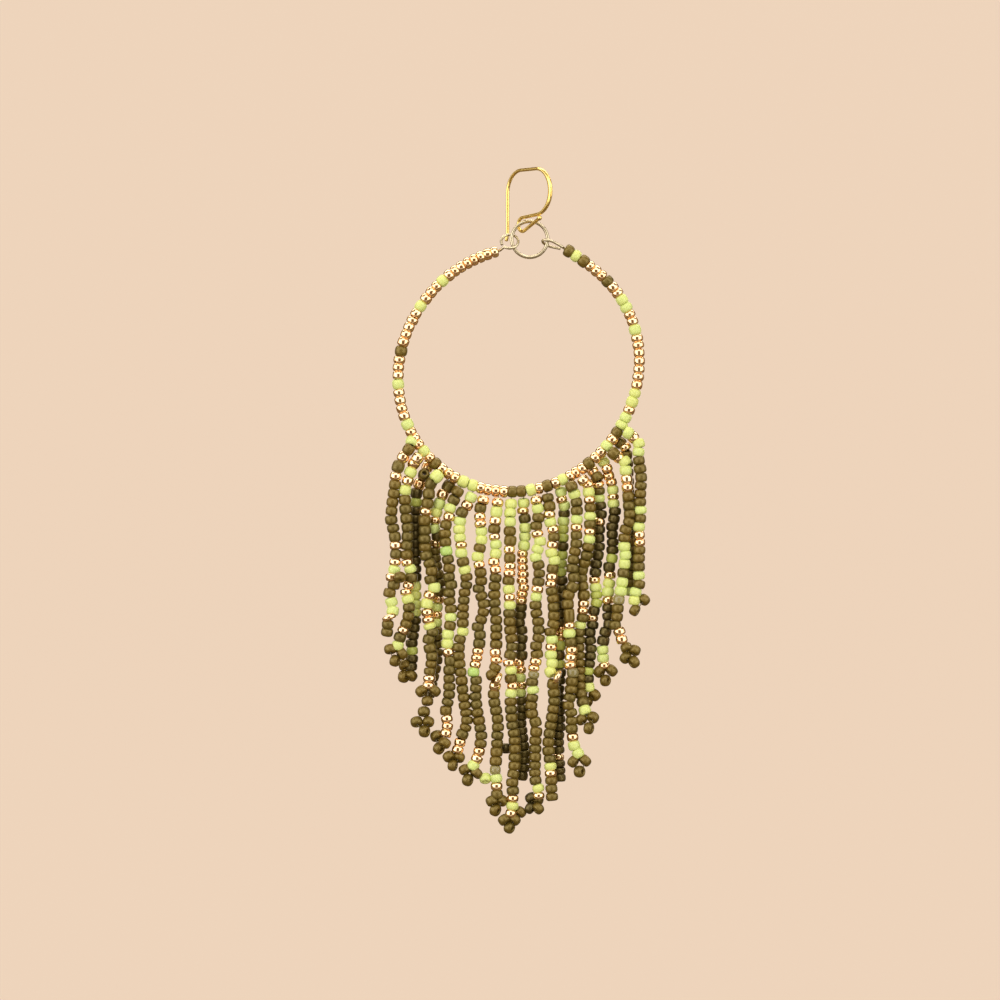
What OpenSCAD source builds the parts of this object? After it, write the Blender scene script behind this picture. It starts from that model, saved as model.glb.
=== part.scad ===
// Beaded fringe earring, in millimetres.
// The origin is the ear wire's centre where it passes through the ear, +Z is up and -Y is the front.

/* [Ear hook] */
// Diameter of the ear wire
hook_wire_d = 0.66; // [0.6:0.02:0.68]
// Radius of the bend in front of the ear
front_bend_r = 4.15; // [4:0.05:4.3]
// Radius of the bend behind the ear
back_bend_r = 4; // [3.8:0.1:4.2]
// Straight drop behind the ear
tail_h = 6.5; // [4:0.5:7]
// Radius of the eye that carries the jump ring
eye_r = 1.25; // [1.24:0.01:1.3]
// Turn of the hook's plane away from the hoop's plane, in degrees
hook_turn = 52; // [51:1:54]

/* [Jump ring] */
// Radius of the ring, to the middle of its wire
ring_r = 3.27; // [3.25:0.01:3.3]
// Diameter of the ring's wire
ring_wire_d = 0.66; // [0.6:0.02:0.68]

/* [Hoop] */
// Mean radius of the beaded hoop, to the middle of its wire
hoop_r = 22; // [21.8:0.1:22.2]
// How far the hoop is drawn out into an oval
hoop_oval = 0.8; // [0.6:0.1:1]
// Diameter of the hoop's wire
hoop_wire_d = 0.5; // [0.4:0.05:0.55]
// Diameter of a bead
bead_d = 2.1; // [2:0.05:2.15]
// Diameter of a bead's hole
bead_bore_d = 0.8; // [0.75:0.05:0.9]

/* [Fringe] */
// Diameter of a string of beads in the fringe
strand_d = 2; // [1.9:0.05:2]
// Gap between the hoop's beads and the top of a string
strand_gap = 0.12; // [0.1:0.01:0.2]
// Distance of the front strings in front of the hoop's plane
front_y = 0.75; // [0.7:0.05:0.8]
// Distance of the back strings behind the hoop's plane
back_y = 1.7; // [1.6:0.05:1.8]
// Width of the cluster of beads at the foot of a string
cluster_w = 3.9; // [3.6:0.1:4]

/* [Hidden] */
HOOK_GOLD = [0.92, 0.74, 0.3];
PALE_GOLD = [0.86, 0.8, 0.6];
BEAD_GOLD = [0.86, 0.6, 0.38];
OLIVE = [0.42, 0.37, 0.17];

// Ear wire, in its own plane: u runs to the front and v up, both from the origin.
hook_wire_r = hook_wire_d / 2;
front_u = 2.3;
back_u = -2;
front_end_a = -85;
sole_u = -1.7;
eye_end_a = 295;
eye_tip_l = 4.95;
eye_tip_r = 0.37;
tail_bend_r = 6;
tail_bend_a = 20;
hook_sides = 12;
bend_step = 12;
eye_step = 20;
end_round = 0.2;
end_round_share = 0.6;
front_c = [front_u, -front_bend_r];
front_end = front_c + front_bend_r * [cos(front_end_a), sin(front_end_a)];
sole_dir = [-cos(90 + front_end_a), -sin(90 + front_end_a)];
sole_l = (front_end[0] - sole_u) / cos(90 + front_end_a);
sole_end = front_end + sole_l * sole_dir;
eye_c = sole_end + eye_r * [-sole_dir[1], sole_dir[0]];
eye_start_a = 180 + front_end_a;
eye_end = eye_c + eye_r * [cos(eye_end_a), sin(eye_end_a)];
eye_tip_dir = [-sin(eye_end_a), cos(eye_end_a)];
eye_tip = eye_end + eye_tip_l * eye_tip_dir;
back_c = [back_u, -back_bend_r];
leg_u = back_u - back_bend_r;
tail_c = [leg_u - tail_bend_r, -back_bend_r - tail_h];

// The jump ring, the hoop and the fringe hang in one plane, through the lowest point of the eye.
drop_y = -(eye_c[0] * sin(hook_turn));
ring_wire_r = ring_wire_d / 2;
ring_c = [0.3, drop_y, -12.6];

// Hoop: angles are measured in its plane from +X towards +Z.
hoop_c = [-1.7, drop_y, -36.3];
hoop_oval_a = 50;
hoop_flare_a = 50;
hoop_flare_k = 0.0025;
hoop_left_a = 99.6;
hoop_right_a = 429.2;
hoop_steps = 44;
hoop_wire_r = hoop_wire_d / 2;
bead_r = bead_d / 2;
bore_r = bead_bore_d / 2;
bead_end_r = 0.75 * bead_r;
bead_sides = 10;
wire_sides = 6;

// Round loop at the left end of the hoop's wire, tilted so that it passes through the jump ring.
left_loop_c = [-3.33, drop_y, -13];
left_loop_r = 1.55;
left_loop_tilt = 33.5;
left_loop_from = -128;
left_loop_turn = 322;
left_loop_steps = 20;

// Long hook at the right end of the wire, tilted about its own length.
right_loop_tilt = 60;
right_loop_rise = 19;
// Distance from the hoop's end and half width, a row for each point of the right loop
RIGHT_LOOP = [[0.5, 0.3], [1.4, 0.62], [2.4, 0.88], [3.3, 0.86], [4, 0.5], [4.25, 0],
    [4, -0.5], [3.3, -0.86], [2.4, -0.88], [1.4, -0.66], [0.7, -0.5]];
right_loop_sub = 2;

// Strings of the fringe, from the left. The columns are: the angle at which the string leaves the hoop,
// X and Z of its shoulder, X at one third and at two thirds of the way down, X and Z of its foot,
// 1 for the front layer or 0 for the back, the height of the bead cluster at its foot, and the share of the
// cluster's extra width that it has, which is less where the next string is close.
STRANDS = [
    [-147, -23.7, -53.8, -24.8, -24.4, -25.6, -84.7, 1, 0, 1],
    [-140, -21.8, -57.5, -22.0, -22.2, -23.8, -90.4, 1, 3.6, 1],
    [-134, -20.0, -58.0, -20.5, -20.6, -21.8, -93.1, 0, 4.6, 1],
    [-127.5, -18.2, -58.8, -17.7, -17.6, -18.7, -102.9, 1, 3.6, 1],
    [-121.6, -16.5, -61.5, -16.5, -16.5, -16.5, -96.4, 0, 0, 1],
    [-116, -14.3, -62.2, -14.4, -14.3, -15.9, -105.8, 1, 3.6, 0.5],
    [-110.5, -11.8, -62.4, -11.5, -12.1, -13.5, -108.7, 1, 3.6, 0.5],
    [-105, -8.5, -62.2, -8.5, -9.6, -10.5, -111.8, 1, 3.6, 1],
    [-99, -5.9, -63.1, -5.8, -5.9, -5.8, -117.1, 1, 3.6, 0.35],
    [-93.3, -3.2, -63.6, -3.3, -2.7, -3.2, -120.2, 1, 3.6, 0.6],
    [-87.6, -0.8, -63.6, -1.4, -1.3, -1.3, -111.5, 0, 0, 1],
    [-82.4, 1.7, -63.6, 1.7, 0.7, 1.1, -116.9, 1, 4.2, 1],
    [-77, 4.1, -63.6, 4.4, 4.3, 4.4, -114.7, 1, 0, 1],
    [-71.3, 6.5, -62.7, 5.8, 5.7, 5.8, -111.5, 0, 0, 1],
    [-65.5, 8.9, -62.2, 7.4, 7.6, 9.3, -110.2, 1, 3.6, 1],
    [-59.8, 11.3, -60.9, 9.9, 9.6, 10.7, -102.4, 1, 3.6, 0.25],
    [-53.7, 12.9, -59.1, 12.5, 11.2, 11.3, -97.8, 0, 3.6, 1],
    [-47.8, 15.5, -58.5, 15.3, 14.9, 14.5, -93.8, 0, 3.6, 1],
    [-41.6, 17.9, -56.7, 17.5, 16.4, 18.4, -90.4, 1, 4.6, 1],
    [-35.9, 18.4, -53.1, 18.7, 18.5, 17.9, -78.5, 0, 0, 1],
    [-30.2, 20.2, -52.0, 20.4, 20.1, 19.8, -81.1, 1, 3.6, 1],
];
strand_r = strand_d / 2;
strand_end_r = 0.6 * strand_r;
strand_steps = 22;
strand_sides = 8;
strand_crowd = 1.5;
strand_top_t = 0.03;
shoulder_y = 0.8;
// Share of the cluster's height and share of its extra width, a row for each change
CLUSTER = [[0, 0], [0.3, 0.45], [0.65, 1], [0.85, 0.8], [1, 0]];

function two_digits(n) = str(n < 10 ? "0" : "", n);
STRAND_NODES = [for (i = [1:len(STRANDS)]) str("strand_", two_digits(i))];

function unit(v) = v / norm(v);

// Smooth curve through p1 and p2, with p0 and p3 as their neighbours.
function spline(p0, p1, p2, p3, t) =
    0.5 * (2 * p1 + (p2 - p0) * t + (2 * p0 - 5 * p1 + 4 * p2 - p3) * t * t
        + (3 * p1 - p0 - 3 * p2 + p3) * t * t * t);

// Points of a smooth curve through a list of points, with sub steps between two of them.
function curve(pts, sub) = [
    for (i = [0:len(pts) - 2], k = [0:sub - 1])
        spline(pts[max(i - 1, 0)], pts[i], pts[i + 1], pts[min(i + 2, len(pts) - 1)], k / sub),
    pts[len(pts) - 1]
];

function tangent(path, i) = unit(path[min(i + 1, len(path) - 1)] - path[max(i - 1, 0)]);

// One ring of a tube: half widths are [across the side vector, along the other one].
function ring_points(centre, dir, side, half, sides) =
    let (a = unit(side - dir * (side * dir)), b = cross(dir, a))
    [for (k = [0:sides - 1]) centre + a * half[0] * cos(360 * k / sides) + b * half[1] * sin(360 * k / sides)];

// Directions across a path, each carried on from the one before so that the tube doesn't twist.
function sides_along(path, side, i = 0, out = []) =
    i == len(path) ? out
    : let (dir = tangent(path, i), s = unit(side - dir * (side * dir)))
        sides_along(path, s, i + 1, concat(out, [s]));

function flatten(lists) = [for (l = lists) for (p = l) p];

// Closed tube along a path, with a half width pair for each of its points.
module tube(path, halves, sides, side) {
    n = len(path);
    across = sides_along(path, side);
    points = flatten([for (i = [0:n - 1]) ring_points(path[i], tangent(path, i), across[i], halves[i], sides)]);
    walls = [for (i = [0:n - 2], k = [0:sides - 1], half = [0, 1])
        let (a = i * sides + k, b = i * sides + (k + 1) % sides)
        half == 0 ? [a, b, b + sides] : [a, b + sides, a + sides]];
    first = [for (k = [sides - 1:-1:0]) k];
    last = [for (k = [0:sides - 1]) (n - 1) * sides + k];
    polyhedron(points = points, faces = concat(walls, [first, last]), convexity = 10);
}

// Tube along a path with a bore through it.
module pipe(path, outer, bore, sides, side) {
    n = len(path);
    across = sides_along(path, side);
    points = concat(
        flatten([for (i = [0:n - 1]) ring_points(path[i], tangent(path, i), across[i], [outer[i], outer[i]], sides)]),
        flatten([for (i = [0:n - 1]) ring_points(path[i], tangent(path, i), across[i], [bore, bore], sides)]));
    inner = n * sides;
    walls = [for (i = [0:n - 2], k = [0:sides - 1], half = [0, 1])
        let (a = i * sides + k, b = i * sides + (k + 1) % sides)
        half == 0 ? [a, b, b + sides] : [a, b + sides, a + sides]];
    bore_walls = [for (w = walls) [w[2] + inner, w[1] + inner, w[0] + inner]];
    rims = [for (k = [0:sides - 1], half = [0, 1], e = [0, n - 1])
        let (a = e * sides + k, b = e * sides + (k + 1) % sides,
            f = half == 0 ? [a, a + inner, b] : [b, a + inner, b + inner])
        e == 0 ? f : [f[2], f[1], f[0]]];
    polyhedron(points = points, faces = concat(walls, bore_walls, rims), convexity = 10);
}

// Radius of the hoop at an angle: a slight oval that opens out towards its right end.
function wrapped(a) = a > 180 ? a - 360 : a;
function flare(a) = max(0, wrapped(a) - hoop_flare_a) < 25 ? max(0, wrapped(a) - hoop_flare_a) : 0;
function hoop_radius(a) = hoop_r + hoop_oval * cos(2 * (a - hoop_oval_a)) + hoop_flare_k * pow(flare(a), 2);
function hoop_point(a, out = 0) = hoop_c + (hoop_radius(a) + out) * [cos(a), 0, sin(a)];

function left_loop_point(a) = left_loop_c + left_loop_r
    * [cos(a), sin(left_loop_tilt) * sin(a), cos(left_loop_tilt) * sin(a)];

function right_loop_point(p) = let (
        start = hoop_point(hoop_right_a),
        along = [-cos(right_loop_rise), 0, sin(right_loop_rise)],
        up = [sin(right_loop_rise), 0, cos(right_loop_rise)],
        across = up * cos(right_loop_tilt) - [0, sin(right_loop_tilt), 0])
    start + along * p[0] + across * p[1];

hoop_path = [for (i = [0:hoop_steps]) hoop_point(hoop_left_a + (hoop_right_a - hoop_left_a) * i / hoop_steps)];
left_loop_path = [for (i = [left_loop_steps:-1:0])
    left_loop_point(left_loop_from + left_loop_turn * i / left_loop_steps)];
right_loop_path = curve([for (p = RIGHT_LOOP) right_loop_point(p)], right_loop_sub);
hoop_wire_path = concat(left_loop_path, hoop_path, right_loop_path);

// Route of a string: from the hoop's beads outwards, over its shoulder and down to its foot.
function strand_knots(row) = let (
        y = row[7] == 1 ? -front_y : back_y,
        top = hoop_point(row[0], bead_r + strand_gap),
        shoulder = [row[1], drop_y + shoulder_y * y, row[2]],
        out = unit(top - hoop_c) * norm(shoulder - top),
        foot = [row[5], drop_y + y, row[6]],
        upper = [row[3], drop_y + y, row[2] + (row[6] - row[2]) / 3],
        lower = [row[4], drop_y + y, row[2] + (row[6] - row[2]) * 2 / 3])
    [shoulder - 2 * out, top, shoulder, upper, lower, foot, 2 * foot - lower];

function strand_point(knots, t) = let (k = min(floor(t), 3))
    spline(knots[k], knots[k + 1], knots[k + 2], knots[k + 3], t - k);

// Half widths of a string at a height above its foot: the cluster is wide across the hoop's plane only.
function strand_half(h, cluster_h, share) = let (
        body = h < 0.3 ? strand_end_r : strand_r,
        widest = share * (cluster_w / 2 - strand_r),
        extra = cluster_h > 0 && h < cluster_h ? lookup(h / cluster_h, CLUSTER) * widest : 0)
    [body + extra, body];

// Points of an arc in the hook's plane, and the place of a point of that plane.
function arc_points(centre, r, from, to, step) = let (n = ceil(abs(to - from) / step))
    [for (i = [0:n]) let (a = from + (to - from) * i / n) centre + r * [cos(a), sin(a)]];
function on_hook_plane(p) = [p[0] * cos(hook_turn), -p[0] * sin(hook_turn), p[1]];

// The wire runs from the tip of its tail over both bends and round the eye to its blunt tip.
hook_points = concat(
    arc_points(tail_c, tail_bend_r, -tail_bend_a, 0, bend_step),
    arc_points(back_c, back_bend_r, 180, 90, bend_step),
    [[0, 0]],
    arc_points(front_c, front_bend_r, 90, front_end_a, bend_step),
    arc_points(eye_c, eye_r, eye_start_a, eye_end_a, eye_step),
    [eye_tip - eye_tip_r * eye_tip_dir, eye_tip]);
tail_dir = [-sin(tail_bend_a), -cos(tail_bend_a)];
hook_path_2d = concat([hook_points[0] + end_round * tail_dir], hook_points,
    [eye_tip + eye_tip_r * eye_tip_dir]);
function hook_half(i) = let (from_tip = len(hook_path_2d) - 1 - i)
    i == 0 ? end_round_share * hook_wire_r
    : from_tip == 0 ? end_round_share * hook_wire_r
    : from_tip == 1 ? eye_tip_r : hook_wire_r;

module ear_hook() {
    path = [for (p = hook_path_2d) on_hook_plane(p)];
    halves = [for (i = [0:len(path) - 1]) [hook_half(i), hook_half(i)]];
    color(HOOK_GOLD) tube(path, halves, hook_sides, [sin(hook_turn), cos(hook_turn), 0]);
}

module jump_ring() {
    color(PALE_GOLD) translate(ring_c) rotate([90, 0, 0])
        rotate_extrude($fn = 96) translate([ring_r, 0]) circle(r = ring_wire_r, $fn = 32);
}

module hoop_wire() {
    halves = [for (p = hoop_wire_path) [hoop_wire_r, hoop_wire_r]];
    color(PALE_GOLD) tube(hoop_wire_path, halves, wire_sides, [0, 1, 0]);
}

module hoop_beads() {
    outer = [for (i = [0:hoop_steps]) i == 0 || i == hoop_steps ? bead_end_r : bead_r];
    color(BEAD_GOLD) pipe(hoop_path, outer, bore_r, bead_sides, [0, 1, 0]);
}

module strand(row) {
    knots = strand_knots(row);
    steps = concat([0, strand_top_t],
        [for (i = [1:strand_steps]) 4 * (1 - pow(1 - i / strand_steps, strand_crowd))]);
    path = [for (t = steps) strand_point(knots, t)];
    halves = [for (i = [0:len(path) - 1])
        i == 0 ? [strand_end_r, strand_end_r] : strand_half(path[i][2] - row[6], row[8], row[9])];
    color(OLIVE) tube(path, halves, strand_sides, [1, 0, 0]);
}

ear_hook();
jump_ring();
hoop_wire();
hoop_beads();
for (i = [0:len(STRANDS) - 1])
    strand(STRANDS[i]);
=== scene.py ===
import math
import random

import bpy
import numpy as np
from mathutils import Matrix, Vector


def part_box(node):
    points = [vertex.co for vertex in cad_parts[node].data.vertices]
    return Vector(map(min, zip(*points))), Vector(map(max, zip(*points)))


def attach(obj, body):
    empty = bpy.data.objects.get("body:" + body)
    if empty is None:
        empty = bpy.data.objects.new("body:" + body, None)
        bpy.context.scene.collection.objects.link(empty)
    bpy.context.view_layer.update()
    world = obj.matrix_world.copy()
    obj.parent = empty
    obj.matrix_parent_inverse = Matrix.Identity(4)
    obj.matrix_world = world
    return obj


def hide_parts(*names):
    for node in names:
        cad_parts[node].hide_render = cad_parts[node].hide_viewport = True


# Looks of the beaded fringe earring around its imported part. Lengths of the earring are in millimetres until a mesh
# is made. The stage, the lights and the camera are placed in metres.
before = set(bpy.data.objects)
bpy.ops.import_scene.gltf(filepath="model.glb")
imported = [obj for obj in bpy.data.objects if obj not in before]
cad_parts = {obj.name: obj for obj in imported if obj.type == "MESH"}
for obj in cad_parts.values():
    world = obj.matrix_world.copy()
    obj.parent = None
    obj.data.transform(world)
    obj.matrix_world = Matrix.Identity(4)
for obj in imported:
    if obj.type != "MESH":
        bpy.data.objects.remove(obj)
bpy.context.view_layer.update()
MM = 0.001

# Shapes that repeat the part's own values, in millimetres and degrees.
# The ear wire is drawn flat, U to its front and V up, and is then turned about the vertical.
HOOK_TURN = 52
HOOK_WIRE_R = 0.33
FRONT_BEND_R = 4.15
BACK_BEND_R = 4.0
TAIL_H = 6.5
EYE_R = 1.25
FRONT_U = 2.3
BACK_U = -2.0
FRONT_END_A = -85
SOLE_U = -1.7
EYE_END_A = 295
EYE_TIP_L = 4.95
EYE_TIP_R = 0.46
BEATEN_THICK = 0.02
BEATEN_WIDE = 0.2
TAIL_BEND_R = 6.0
TAIL_BEND_A = 20

# Rounded end of the tail: its length, and its radius at the very end as a share of the wire's
TAIL_CAP_L = 0.2
TAIL_CAP_R = 0.35

# Blunt tip of the eye: how far its middle lies back from the end and how long it is, both in its radii
TIP_BACK = 0.2
TIP_LONG = 1.1
TIP_LEAST_R = 0.02

# The hoop, a little oval, and a little wider for some degrees at its upper right
HOOP_R = 22.0
HOOP_OVAL = 0.8
HOOP_OVAL_A = 50
HOOP_FLARE_A = 50
HOOP_FLARE_SPAN = 25
HOOP_FLARE_K = 0.0025
HOOP_LEFT_A = 99.6
HOOP_RIGHT_A = 429.2
HOOP_WIRE_R = 0.25

# Loops of the hoop's wire at the jump ring: a round one at its left end, a long hook at its right end
LEFT_LOOP_R = 1.55
LEFT_LOOP_TILT = 33.5
LEFT_LOOP_FROM = -128
LEFT_LOOP_TURN = 335
RIGHT_LOOP_TILT = 60
RIGHT_LOOP_RISE = 19
RIGHT_LOOP = [(0.5, 0.3), (1.4, 0.62), (2.4, 0.88), (3.3, 0.86), (4, 0.5), (4.25, 0),
              (4, -0.5), (3.3, -0.86), (2.4, -0.88), (1.4, -0.66), (0.7, -0.5)]

# Layers of the fringe: how far its strings hang in front of the hoop's plane and behind it, how far from the hoop
# they reach that depth, and how near to the hoop's line they come
FRONT, BACK = 1, 0
FRONT_Y = 0.75
BACK_Y = 1.7
LAYER_REACH = 6.0
TOUCH = 2.17

# Beads that lie askew: turn, length and size of a gold one, and the way that the hole of an olive one faces
ASKEW_TURN = 50
ASKEW_LENGTH = 1.1
ASKEW_SIZE = 1.25
ASKEW_HOLE = (0.15, -1, 0.35)

ring_lo, ring_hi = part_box("jump_ring")
DROP_Y = (ring_lo[1] + ring_hi[1]) / 2 / MM
HOOP_C = np.array([-1.7, DROP_Y, -36.3])
LEFT_LOOP_C = np.array([-3.33, DROP_Y, -13.0])

# Scale of the photograph at the hoop, and the pixel of the ear wire's centre in the ear
PX_PER_MM = 5.5
ORIGIN_PX = (528, 170)
PHOTO_PX = 1000

# Bead kinds: O olive, D dark olive, L lime, M lime darkened as painted shade for the back strings, P pale green,
# G rose gold, C clear olive. T is a long olive bead. A small letter is a bead that lies askew on its string.
HOOP_ORDER = ("OLO" "GGG" "O" "GG" "LL" "GG" "L" "GGGGGGG" "LL" "G" "LL" "O" "G" "L" "GG" "O" "GGG" "L" "G" "O" "G"
              "L" "OO" "GGGG" "LL" "GGG" "O" "G" "L" "GGG" "L" "GGGG" "L" "GGG" "O" "GGGGG" "L" "GGG" "L" "GGGGGGGG")

# Strings from the left: angle at which the string leaves the hoop, its layer, and its beads from the top in runs.
# Each run of beads is followed by the pixel of its last bead's centre, and where it hangs behind its layer, by
# how many millimetres.
STRINGS = [
    (-147, FRONT, "LO 409,449 G 403,457 O 398,467 G 396,476.5 OO 394,493.5 OOO 391.5,520 OO 395,536.5 GO 396,554 "
                  "G 395,562.7 L 394.7,569.3 G 391.3,576.7 O 393.7,585.3 O 390,592.7 LL 393,611 g 389.3,617.5,-0.5 "
                  "OO 387,631.7"),
    (-140, FRONT, "G 418.5,457.5 G 413.5,464.5 L 410.5,472 GL 405.5,490.5 OOOOO 407.5,536.5 OO 406.3,554.5 "
                  "G 407.3,562.7 L 410,569 O 411.3,576.7 G 408,586 G 406,592 L 408,598.5 OOO 406,624 G 403,630 "
                  "O 399.7,637.3 L 398,645.3"),
    (-134, BACK, "G 427.5,466.5 o 424,474.5 G 419,484.5 O 416.5,493.5 M 416,502.5 OOOOOOOOO 415.3,577 "
                 "LLLL 415.3,613.3 OO 414,628 OO 411.5,643.5 M 412,651 OO 411,666.5"),
    (-127.5, FRONT, "L 437,476 O 431,484 OO 427.5,503.5 G 425.5,511.5 OO 425,530.5 OOO 426.3,555.5 OO 432,571 "
                    "O 430,579.3 L 434,587.3 G 430,595.3 L 427.3,603.3 GG 428.7,620.3 L 430,626.3 O 432.5,631 "
                    "O 428.5,639.5 OO 432,656.5 OO 430,671 GG 428.5,685"),
    (-121.6, BACK, "O 448.5,485.5 G 442,495,-0.4 L 439,504,-0.6 L 436,512.5,-0.6 G 435,520.5,-0.6 L 434,528.5,-0.6 "
                   "O 437,535.5 G 435,545 OO 434.7,558 OO 438,575 OO 440.3,591.3 G 438,599.7 LGL 436,623.3 "
                   "OOOO 437,652.5 OO 435,668.5 O 432.5,677 OO 430,693"),
    (-116, FRONT, "O 458,491.5 O 453.5,500.5 L 450,508 G 449,517 O 446,525 OOP 446.5,551 OO 449.3,568 O 449,576.7 "
                  "O 451.3,584.7 O 449.3,593.3 OO 451,608.7 LO 450,625.3 L 448,634.3 LG 448,652 O 450.3,660.5 "
                  "O 449.3,670.5 OOO 449.2,694 OO 446,710 GG 447.5,726 G 445.6,733"),
    (-110.5, FRONT, "L 471,497 G 467,505.5 O 462,513 LLL 460,537.5 G 461,545 L 461.5,553 OL 464.7,570 O 466.7,577.3 "
                    "OO 464.7,592.3 OOOO 462.7,622.7 L 462.7,631.7 O 460.3,638.7 OOOOO 461.5,680.5 OOO 465,705.6 "
                    "O 466.3,712.5 OO 465.6,727 O 462.5,733.5 G 460,742 G 457.5,749.4"),
    (-105, FRONT, "G 483.5,500 O 480.5,508.5 GG 480.5,524 L 481.5,531 LO 480,548 L 478,556.5 G 479.5,565 "
                  "OO 481,580.5 O 479,589 OO 484,603.5 OO 481,619.5 O 478,626.5 O 480,634.5 O 479,643.5 G 478,651 "
                  "GG 475.5,664 P 473.5,672.5 O 476,680 OO 475.6,696 OO 477.5,712.5 OO 480,727.5 O 481.3,735.6 "
                  "O 480.6,743 GG 476.9,758 L 473.1,765.6"),
    (-99, FRONT, "G 497.5,502.5 LG 495.5,521 O 494,529.5 GLL 496,553 G 493.7,562 G 495.5,570 OOO 494,594.5 "
                 "OOO 496,620 OOO 496,643.5 G 495.5,652.5 G 496.5,660 O 495,667.5 O 492,674 g 498,679,-0.8 "
                 "G 494.5,686.5 OO 494.4,702.5 O 496.3,710 OO 498.1,727 OO 496.9,743 OO 495.6,760.6 C 495,770 "
                 "L 496.3,778 GO 496.9,793.8"),
    (-93.3, FRONT, "LLL 510,522 OO 510,540 G 509.5,550 O 510,558 GG 509.5,573.5 O 508.5,580.5 LG 509.5,597.5 "
                   "LO 509.5,613 OO 510,630 OO 512,646.5 O 510.5,654.5 G 509,663 L 511,670 O 510.5,678.5 "
                   "G 512.5,686 L 511,693 OOO 511.3,717.5 OOO 514.4,740 OOO 514.4,765.6 OO 512.5,782 OG 513,798 "
                   "L 512.5,805.6 G 510.6,813"),
    (-87.6, BACK, "L 523.5,503 G 523,511,-0.4 O 524.5,518.5,-0.8 LLL 524,545.5,-1 G 522.5,554,-1 GGG 523,574.5,-1 "
                  "G 522.5,581,-1 G 523.5,587,-1 G 522,594,-0.8 G 521.5,600.5,-0.6 OO 520,615 O 519,623 O 522,630.5 "
                  "OO 520.5,647 O 521.5,655 G 519,663.5 G 520.5,670.5 L 520,678 G 521.5,686 L 520.6,693 "
                  "OO 522.5,709 OO 520.6,724 OO 522.5,738.5 OOO 524.5,761 OO 521.9,776"),
    (-82.4, FRONT, "G 536,500.5 LO 538.5,517.5 O 536,526 G 537.5,534 L 540,541 LL 535.5,557.5 O 538.5,565 "
                   "OO 538.5,582 G 537.5,589 L 536,597 O 535.5,605 OO 538,621.5 OO 538.5,637.5 O 536,646 O 537,654 "
                   "GG 534,668 C 533.5,674.5 O 532,682 L 532.8,690 OOO 531.9,713 O 535.6,722 OO 535.6,740.6 "
                   "OOO 535,765 OO 535.6,780 L 538,788 G 538.5,795"),
    (-77, FRONT, "OO 549.5,506.5 GL 550,522 G 553,529.5 O 554,537 G 552.5,545 L 551.5,552.5 L 554.5,560.5 "
                 "O 552.5,568.5 G 552,577 G 551,584 OO 553,598.5 OOO 553,624 O 550.5,631.5 L 551.5,639.5 "
                 "GL 550.5,654.5 L 552,663 L 550,671 g 557,676.5,-0.8 O 553,684.5 O 554,692.5 OOOO 550.6,725 "
                 "OO 548.1,742 OO 549.4,758.8 LG 550.6,773 OOO 551.9,796.3"),
    (-71.3, BACK, "L 561,492 G 561.5,499.5 L 564.5,506 O 564.5,513.5 L 563.5,521 MM 563,538 O 562.5,546 "
                  "MM 561.5,564 M 561,572.5 O 562,580.5 OOOOO 560.5,622 GG 561,637 M 560,645.5 O 559,655.5 "
                  "M 560,665 OOOO 558.5,697 OOOO 559.4,727.5 OO 558,743 O 558.8,750.5 GO 558.8,764 OO 560,778"),
    (-65.5, FRONT, "O 571.5,486.5 L 574.5,494 OO 577,511 LG 576.5,527.5 OO 576,543.5 OO 573.5,559.5 O 572.5,568 "
                   "O 573.5,577 O 573,586.5 O 568,595.5 O 567.5,604 T 569,615.5 G 569,625.5 L 569.5,633.5 "
                   "O 570.5,641.5 G 571.5,650 GG 570,665 C 572.5,672.5 O 571.5,681.5 OO 570,697 O 568.3,705.3 "
                   "O 571.3,712.8 OO 571.3,728 G 572.5,737 L 573.8,745.5 L 578,753"),
    (-59.8, FRONT, "G 583,480.5 G 588,484.5 L 588.5,492 GO 590,508 L 590,516 OG 590,531.5 L 589,539.5 OO 586.5,555 "
                   "O 584.5,562.5,0.6 O 582,570,1.2 O 581.5,578,1.5 OO 584,595,1.2 G 583.5,604,1.2 G 583,611,1.2 "
                   "O 582.5,618,1.2 L 580,625,1.4 OO 579,640,1.5 OOO 579,663,1.6 OOO 580,685.5,1.5 O 580.8,694,1.4 "
                   "O 582.5,702,0.9 L 585,710.6,0.4"),
    (-53.7, BACK, "G 593,471 O 597,477.5 G 598.5,484.5 OL 599,498 OO 601,514 G 599.5,522 OOO 599,546.5 OO 596.5,564 "
                  "OG 595,580 L 595.5,588 MM 596.5,603 O 594,611 G 592.5,618.5 O 592.5,625 O 590,632.5 OO 591,649 "
                  "OO 589.5,664 M 588,671 OL 589,687.5"),
    (-47.8, BACK, "L 603.5,462 G 607,468.5 G 608.5,475.5 G 611.5,482.5 L 613,490 GL 614,504 O 615,511 "
                  "OO 612.5,526.5 OO 613,542.5 O 612.5,550 M 612,558 O 609.5,567 G 610,575.5 LL 608,592 G 608.5,601 "
                  "OO 608.5,616 O 609.5,624 O 605.5,632.5 O 603.5,641 L 603,650 L 603.5,659 G 604.5,665.5"),
    (-41.6, FRONT, "O 613,453.5 G 618.5,457.5 L 625,462 L 625.5,470 GG 627.5,487.5 OO 629,506 OO 629,522 "
                   "O 625.5,529.5 O 624.5,538 L 624,546.5 L 625.5,555 L 624.5,563.5 O 623.5,573 L 622,582 "
                   "L 620.5,591 C 618.5,600 OO 617,616.5 O 615,624.5 G 619.5,631.5 G 621.5,639.5"),
    (-35.9, BACK, "O 621,443 G 626,447.5 O 626.5,455 OOOOOOOOO 630.5,533 OOOOOO 630,583 L 629,591.5"),
    (-30.2, FRONT, "L 628,433 G 633.5,437.5 L 639,444 L 638.5,452 O 639,460.5 OO 641,477.5 OOO 640,502 LO 640,518.5 "
                   "L 638.5,526.5 GG 639.5,542.5 OO 639,558 OL 639,575.5 O 639,584 L 635.5,592 L 634,600.5"),
]

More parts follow.
